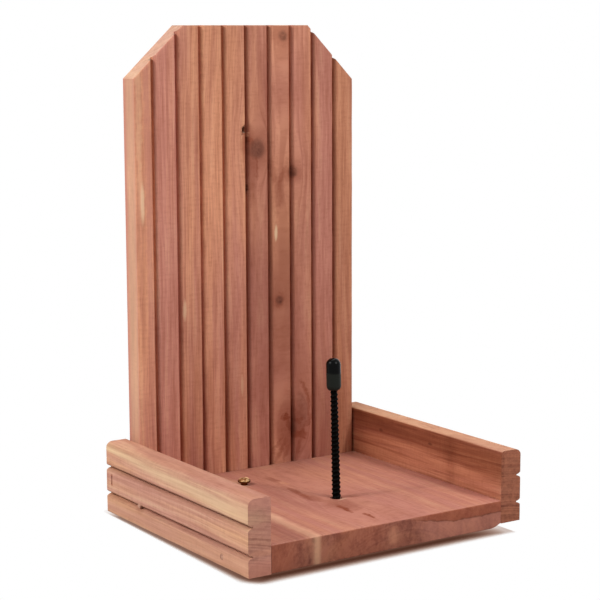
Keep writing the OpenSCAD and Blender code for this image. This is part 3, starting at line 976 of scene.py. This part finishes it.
def onSpike(points):
    # From a frame on the spike's foot, with z along the spike, into the feeder's frame
    axle = -spikeAxis[1], spikeAxis[0], 0
    upright = np.array(Matrix.Rotation(math.acos(spikeAxis[2]), 3, axle))
    return spikeFoot + points @ upright.T


def spikeShape(sides=48):
    # Radius over turn and height: the thread's crest climbs one pitch in each right-hand turn
    angle = np.arange(sides) / sides
    top = spike["length"]
    rows = np.concatenate([np.arange(spike["headHigh"], top, spike["pitch"] / 10), [top]])
    z = np.repeat(rows[:, None], sides, axis=1)
    taper = np.clip((z - floorTop) / (top - spike["pointLength"] - floorTop), 0, 1)
    crest = spike["shank"] + (spike["tip"] - spike["shank"]) * taper
    turn = np.mod(z / spike["pitch"] - angle, 1)
    flank = 0.5 - (spike["crest"] + spike["root"]) / 2
    ridge = 1 - np.clip((abs(turn - 0.5) - spike["crest"] / 2) / flank, 0, 1)
    begun, ended = np.clip((z - spike["threadFrom"]) / 4, 0, 1), np.clip((top - 2 - z) / 6, 0, 1)
    radius = crest - spike["thread"] * begun * (1 - ridge * ended)
    pointed = np.clip((top - z) / spike["pointLength"], 0, 1) ** 0.8
    radius = np.where(pointed < 1, spike["point"] + (radius - spike["point"]) * pointed, radius)
    headRings = (0.01, 0.8, 1.6, 2.4, 3.2, 4.0, 5.0, 5.8, spike["head"] - 0.05)
    flatR, flatZ = profileRings([(r, 0) for r in headRings] + [(spike["head"], 0.15)], sides)
    angle = angle * math.tau
    flatZ = flatZ + crossDip(flatR * np.cos(angle), flatR * np.sin(angle), spike["cross"])
    points, faces = turned(np.concatenate([flatR, radius]), np.concatenate([flatZ, z]))
    return onSpike(points), faces


def blackSteel():
    at = place3(*position().values())
    worn = fade(noise(at, scale=0.35, detail=3.0), 0.55, 0.8)
    return {"Base Color": blended(worn, paint(3, 2, 1), paint(12, 8, 6)),
            "Roughness": 0.4 + noise(at, scale=0.9, detail=3.0) * 0.25, "Specular IOR Level": 0.03}


piece("cornSpike", spikeShape(), materialOf("blackSteel", blackSteel), "corn_spike",
      sharp=50)


# Cap on the spike

cap = {
    "radius": 5.05, "bore": 2.75, "cover": 19.8, "end": 2.0, "gap": 0.3, "round": 4.5,
    "bevel": 1.9, "taper": 1.8, "slant": 0.04,
}


def capShape(sides=72):
    # A turned shell: up the bore, over its roof, then from the mouth's bevel to the rounded end
    outer, inner, bend = cap["radius"], cap["bore"], cap["round"]
    mouth, roof = spike["length"] - cap["cover"], spike["length"] + cap["gap"]
    top = roof + cap["end"]
    bevel, taper = cap["bevel"], cap["bevel"] * cap["taper"]
    bends = np.radians(np.arange(0, 91, 7.5))
    inside = [(0.4, roof), (inner - 0.4, roof), (inner, roof - 0.4), (inner, mouth + 0.25)]
    lip = [(inner + 0.2, mouth)] + [
        (outer - bevel * (1 - math.sin(b)), mouth + taper * (1 - math.cos(b))) for b in bends[::2]]
    wall = [(outer, z) for z in np.linspace(mouth + taper + 0.5, top - bend, 14)[:-1]]
    shoulder = [(outer - bend + bend * math.cos(b), top - bend + bend * math.sin(b)) for b in bends]
    crown = [((outer - bend) * s, top + 0.12 * (1 - s * s)) for s in (0.6, 0.2)]
    radius, height = profileRings(inside + lip + wall + shoulder + crown, sides)
    angle = np.arange(sides) * math.tau / sides
    low = np.clip((mouth + 6 - height) / 6, 0, 1)
    height = height + cap["slant"] * radius * np.cos(angle) * low
    swell = 0.04 * ripple(angle[None, :] * 2, height / 3, 17) * (radius > inner + 0.5)
    points, faces = turned(radius + swell, height)
    return onSpike(points), faces


def capVinyl():
    # Glossy round the top, duller and greener below a slightly slanting line
    at = position()
    upper = fade(at["z"] - 107.0 + at["x"] * 0.05, -0.8, 0.8)
    soft = noise(place3(*at.values()), scale=0.6)
    return {"Base Color": blended(upper, paint(27, 29, 25), paint(1, 1, 1)),
            "Roughness": 0.42 - upper * 0.3 + soft * 0.04, "Specular IOR Level": 0.08}


piece("spikeCap", capShape(), materialOf("capVinyl", capVinyl), "spike_cap",
      body="cap", sharp=60)
print("spike and cap ready")


# Brass screw in the floor

brassScrew = {"head": 4.55, "tall": 3.3, "rim": 1.15, "shank": 2.4, "length": 16.0, "point": 4.0,
              "tip": 0.5, "cross": (6.4, 1.1, 1.4), "turn": math.radians(-28.0)}


def brassShape():
    # A low dome over a short rim, with a cross recess, on a shank that narrows to its point
    head, tall, rim = brassScrew["head"], brassScrew["tall"], brassScrew["rim"]
    rise = tall - rim
    arc = (head ** 2 + rise ** 2) / (2 * rise)
    rings = (0.02, 0.35, 0.7, 1.05, 1.4, 1.75, 2.1, 2.45, 2.8, 3.2, 3.6, 4.0, 4.3, 4.48)
    dome = [(r, tall - arc + math.sqrt(arc ** 2 - r ** 2)) for r in rings]
    under = [(head, rim - 0.1), (head, 0.25), (head - 0.25, 0)]
    points, faces = screwShape(brassScrew, dome + under + shaftOf(brassScrew, 0), rim, 64)
    centre = (screwLow + screwHigh) / 2
    return points + [centre[0], centre[1], screwHigh[2] - tall], faces


def metalFinish(light, dark, rough, rim=None):
    # Bare or plated metal, cloudy tarnish; painted shade, dark brown, below the height of a head's
    # rim
    def finish():
        at = position()
        cloud = fade(noise(place3(*at.values()), scale=0.5, detail=4.0), 0.42, 0.7)
        colour = blended(cloud, light, dark)
        if rim is not None:
            # Painted shade on the head's side, under its dome
            colour = blended(fade(at["z"], rim + 2.3, rim + 0.8), colour, paint(92, 50, 20))
        return {"Base Color": colour, "Metallic": 1.0, "Roughness": rough + cloud * 0.2}
    return finish


brass = metalFinish(paint(214, 176, 128), paint(140, 100, 58), 0.3, rim=screwHigh[2] - 3.4)
piece("floorScrew", brassShape(), materialOf("brass", brass), "floor_screw",
      sharp=40)


# Nails and staples in the rails

nail = {"head": 1.9, "thick": 0.9, "shank": 1.0, "length": 38.0, "point": 3.0, "tip": 0.2}


def nailShape(side, low, high, sides=32):
    # A nearly flat head on a thin shank, laid on its side and driven in from the rail's outer face
    crown = [(0.02, 0), (0.9, -0.03), (1.5, -0.1), (1.82, -0.2), (nail["head"], -0.35)]
    outline = crown + [(nail["head"], -nail["thick"])] + shaftOf(nail, -nail["thick"])
    points, faces = turned(*profileRings(outline, sides))
    outer, centre = low[0] if side < 0 else high[0], (low + high) / 2
    laid = np.stack([side * points[:, 2], points[:, 1], points[:, 0]], axis=-1)
    return laid + [outer, centre[1], centre[2]], faces


staple = {"wire": 1.2, "bend": 0.5}


def stapleShape(side, low, high, sides=12):
    # Square wire with rounded corners carried along a U: a crown, two bends and a leg from each
    wire, bend = staple["wire"], staple["bend"]
    half, legs = (high[2] - low[2] - wire) / 2, high[0] - low[0] - wire / 2
    arc = np.radians(np.linspace(0, 90, 5))
    corner = np.stack([bend * np.sin(arc), half - bend + bend * np.cos(arc)], axis=-1)[::-1]
    path = np.concatenate([[[legs, half]], corner, corner[::-1] * [1, -1], [[legs, -half]]])
    heading = np.gradient(path, axis=0)
    heading /= np.linalg.norm(heading, axis=1)[:, None]
    angle = np.arange(sides) * math.tau / sides
    squared = wire / 2 / np.maximum(abs(np.cos(angle)), abs(np.sin(angle))) * 0.95
    out, wide = squared * np.cos(angle), squared * np.sin(angle)
    inward = path[:, None, 0] + heading[:, None, 1] * out
    level = path[:, None, 1] - heading[:, None, 0] * out
    points = np.stack([inward, wide + 0 * inward, level], axis=-1).reshape(-1, 3)
    number, faces = tubeQuads(len(path), sides)
    faces += [number[0].tolist(), number[-1].tolist()]
    outer, centre = low[0] if side < 0 else high[0], (low + high) / 2
    return points * [-side, 1, 1] + [outer - side * wire / 2, centre[1], centre[2]], faces


galvanised = materialOf("galvanisedSteel",
                        metalFinish(paint(196, 152, 130), paint(160, 118, 98), 0.6))
stapleWire = materialOf("stapleWire", metalFinish(paint(240, 214, 190), paint(214, 180, 154), 0.6))
for name, side in (("left", -1), ("right", 1)):
    for end in ("Front", "Rear"):
        node = f"{name}_{end.lower()}_nail"
        piece(f"{name}{end}Nail", nailShape(side, *nodeBox(node)), galvanised, node,
              sharp=40)
    node = f"{name}_staple"
    piece(f"{name}Staple", stapleShape(side, *nodeBox(node)), stapleWire, node,
          sharp=40)


# Screws through the back board

backScrew = {"head": 4.0, "cone": 1.9, "shank": 2.1, "length": 38.0, "point": 5.0, "tip": 0.4,
             "cross": (4.8, 1.0, 1.2), "turn": 0.4}


def backScrewShape(low, high):
    # A flat countersunk head with a cross recess, and a shank that narrows to its point
    flat = [(r, 0) for r in (0.02, 0.3, 0.6, 0.9, 1.2, 1.5, 1.8, 2.1, 2.4, 2.7, 3.1, 3.5, 3.85)]
    outline = flat + [(backScrew["head"], -0.15)] + shaftOf(backScrew, -backScrew["cone"])
    points, faces = screwShape(backScrew, outline, -0.05, 48)
    centre = (low + high) / 2
    laid = np.stack([points[:, 0], points[:, 2], points[:, 1]], axis=-1)
    return laid + [centre[0], high[1], centre[2]], faces


yellowZinc = materialOf("yellowZinc", metalFinish(paint(214, 182, 110), paint(168, 140, 90), 0.3))
for name in ("left", "middle", "right"):
    node = f"back_screw_{name}"
    piece(f"backScrew{name.capitalize()}", backScrewShape(*nodeBox(node)), yellowZinc, node,
          sharp=40)
print("fasteners ready")


# Stage, light and camera

stage = {
    "half": 3000.0,
    "fade": (330.0, 520.0),                # the paper turns into plain white between these
    "contact": 16.5, "power": 7.0,         # reach and strength of the shadow in front
    "beside": 9.0, "sidePower": 5.0,       # and beside the rails
    "shorter": 0.62,                       # how much of the reach beside is lost by the rear
    "corner": 3.5,                         # how much stronger it is round the left front corner
    "under": (-110.0, 84.0, -94.0, 94.0),  # where the feeder hides the paper: it is clear there
    "darkest": 0.075, "lift": 0.545,       # the shadow's light, and what it gains by the right end
    "warm": (1.0, 1.4, 1.6),               # the shadow's power in red, green and blue
}


def backdropRays():
    # 1 for the rays that show the white background: from the camera, off metal and through glass
    rays = Wire.node("ShaderNodeLightPath").socket.node.outputs
    seen, glossy, through = (Wire(rays[f"Is {kind} Ray"])
                             for kind in ("Camera", "Glossy", "Transmission"))
    return larger(larger(seen, glossy), through)


def paperLight(at):
    # How light the paper is: as open as it is to the sky within a short reach, raised to a power.
    # Both are greater in front, and the shadow fades out towards the right and the rear.
    x, y = at["x"], at["y"]
    front = fade(y, -92.0, -99.0) * fade(x, -124.0, -106.0)
    corner = front * fade(x, -96.0, -112.0)
    beside, rearward = 1 - front, clipped((y + 95) / 190)
    reach = front * stage["contact"] + beside * (1 - rearward * stage["shorter"]) * stage["beside"]
    power = (stage["sidePower"] + front * (stage["power"] - stage["sidePower"])
             + corner * stage["corner"])
    sky = Wire.node("ShaderNodeAmbientOcclusion", {"samples": 16}, {"Distance": reach * mm}, "AO")
    least = (stage["darkest"] + clipped((x + 20) / 110) ** 9 * stage["lift"]
             + larger(beside, corner) * 0.09 + beside * rearward * 0.14
             + fade(y, 72.0, 95.0) * fade(x, -100.0, -108.0) * 0.6)
    raised = fade(x, 92.5, 95.5) * fade(y, -78.0, -84.0)      # the right rail stands clear
    plain = larger(raised, fade(spread(x, y), *stage["fade"]))
    return larger(larger(sky ** power, least), plain)


def stageFloor():
    # White paper that keeps the shadow under the feeder; it lights the feeder as grey paper would
    half = stage["half"] * mm
    mesh = bpy.data.meshes.new("stageFloor")
    corners = [(-half, -half, 0), (half, -half, 0), (half, half, 0), (-half, half, 0)]
    mesh.from_pydata(corners, [], [(0, 1, 2, 3)])
    made = bpy.data.objects.new("stageFloor", mesh)
    bpy.context.scene.collection.objects.link(made)
    paper = bpy.data.materials.new("stagePaper")
    paper.use_nodes = True
    Wire.tree = paper.node_tree
    Wire.tree.nodes.remove(Wire.tree.nodes["Principled BSDF"])
    at = position()
    light = paperLight(at)
    tone = Wire.node("ShaderNodeCombineColor",
                     inputs=dict(enumerate(light ** share for share in stage["warm"])))
    glow = Wire.node("ShaderNodeEmission", inputs={"Color": tone, "Strength": 1.0})
    diffuse = Wire.node("ShaderNodeBsdfDiffuse", inputs={"Color": (0.5, 0.5, 0.5, 1)})
    full = Wire.node("ShaderNodeMixShader", inputs={0: backdropRays(), 1: diffuse, 2: glow})
    left, right, front, rear = stage["under"]
    hidden = (fade(at["x"], left - 0.1, left) * fade(at["x"], right + 0.1, right)
              * fade(at["y"], front - 0.1, front) * fade(at["y"], rear + 0.1, rear))
    below = Wire.node("ShaderNodeNewGeometry", output="Backfacing")
    clear = Wire.node("ShaderNodeBsdfTransparent")
    full = Wire.node("ShaderNodeMixShader", inputs={0: larger(hidden, below), 1: full, 2: clear})
    Wire.plug(Wire.tree.nodes["Material Output"].inputs["Surface"], full)
    mesh.materials.append(paper)


def worldLight():
    world = bpy.data.worlds.new("tent")
    world.use_nodes = True
    bpy.context.scene.world = world
    Wire.tree = world.node_tree
    background = world.node_tree.nodes["Background"]
    Wire.plug(background.inputs["Color"], (1, 1, 1, 1))
    Wire.plug(background.inputs["Strength"], 0.3 + backdropRays() * 0.7)


def aimed(name, data, place, right, up):
    # A lamp or camera at a place in metres, turned so that its x points right and its y up
    made = bpy.data.objects.new(name, data)
    made.location = place
    made.rotation_euler = Matrix(np.stack([right, up, np.cross(right, up)], axis=-1)).to_euler()
    bpy.context.scene.collection.objects.link(made)
    return made


# Azimuth (0 is in front of the feeder and -90 on its left), elevation, size in metres, power
lamps = {
    "leftLamp": (-98, 35, 0.8, 7.2),
    "rightLamp": (22, 38, 0.8, 6.8),
    "rearLamp": (165, 62, 0.9, 5.0),
    "leftSpark": (-98, 35, 0.12, 4.2),
    "rightSpark": (22, 38, 0.12, 4.2),
}
lampsAt = {"away": 1.3, "about": (0, 0, 0.12)}      # in metres


def addLamp(name, azimuth, elevation, size, power):
    turn, lift = math.radians(azimuth), math.radians(elevation)
    back = np.array([math.sin(turn) * math.cos(lift), -math.cos(turn) * math.cos(lift),
                     math.sin(lift)])
    side = np.cross([0, 0, 1], back)
    side /= np.linalg.norm(side)
    data = bpy.data.lights.new(name, "AREA")
    data.shape, data.size, data.energy = "DISK", size, power
    aimed(name, data, back * lampsAt["away"] + lampsAt["about"], side, np.cross(back, side))


camera = {"place": (-662.62, -985.49, 336.40), "yaw": 33.586, "pitch": 8.698, "roll": -0.242,
          "lens": 104.28, "sensor": 36}


def addCamera():
    yaw, pitch, roll = (math.radians(camera[k]) for k in ("yaw", "pitch", "roll"))
    ahead = np.array([math.sin(yaw) * math.cos(pitch), math.cos(yaw) * math.cos(pitch),
                      -math.sin(pitch)])
    right = np.array([math.cos(yaw), -math.sin(yaw), 0])
    up = np.cross(right, ahead)
    rolled = (right * math.cos(roll) + up * math.sin(roll),
              up * math.cos(roll) - right * math.sin(roll))
    data = bpy.data.cameras.new("photoCamera")
    data.lens, data.sensor_width = camera["lens"], camera["sensor"]
    place = np.array(camera["place"]) * mm
    bpy.context.scene.camera = aimed("photoCamera", data, place, *rolled)


stageFloor()
worldLight()
for name, lamp in lamps.items():
    addLamp(name, *lamp)
addCamera()
bpy.context.scene.view_settings.view_transform = "Standard"
print("stage ready")
